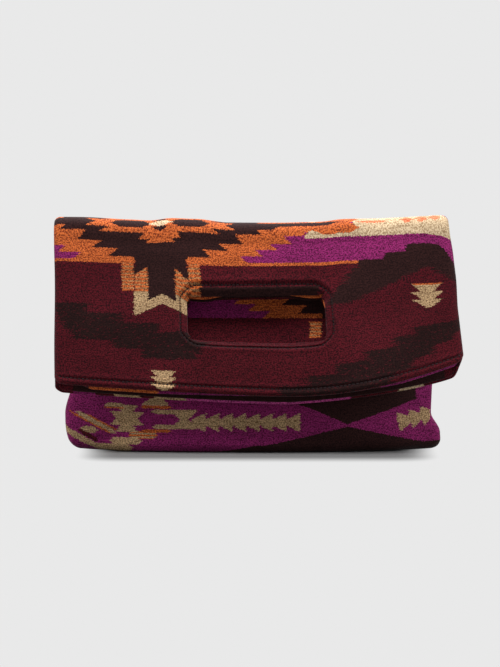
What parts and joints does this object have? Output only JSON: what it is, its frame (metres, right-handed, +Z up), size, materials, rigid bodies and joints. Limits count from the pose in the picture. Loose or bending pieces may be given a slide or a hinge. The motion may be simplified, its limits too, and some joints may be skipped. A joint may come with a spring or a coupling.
{
  "type": "foldover bag",
  "caption": "Soft wool sack bag with a cut-out hand hole, stuffed and folded over forwards so that it stands on its flat base, with a magnetic snap inside its mouth",
  "frame": {"origin": "on the floor under the middle of the bag's outline", "axes": "+Z up, +X to the viewer's right along the fold, -Y to the front, where the flap hangs"},
  "size_m": [0.33, 0.0962, 0.191],
  "materials": {
    "patterned_wool_back": "felted jacquard wool",
    "patterned_wool_front": "felted jacquard wool",
    "orange_wool": "felted wool",
    "purple_wool": "felted wool",
    "lining_cotton_back": "plain woven cotton",
    "lining_cotton_front": "plain woven cotton",
    "snap_steel": "plated steel"
  },
  "bodies": {
    "root": {"back_panel": "patterned_wool_back", "front_panel": "patterned_wool_front", "back_facing": "orange_wool", "front_facing": "purple_wool", "back_lining": "lining_cotton_back", "front_lining": "lining_cotton_front", "snap_stud": "snap_steel", "snap_socket": "snap_steel"}
  },
  "joints": []
}
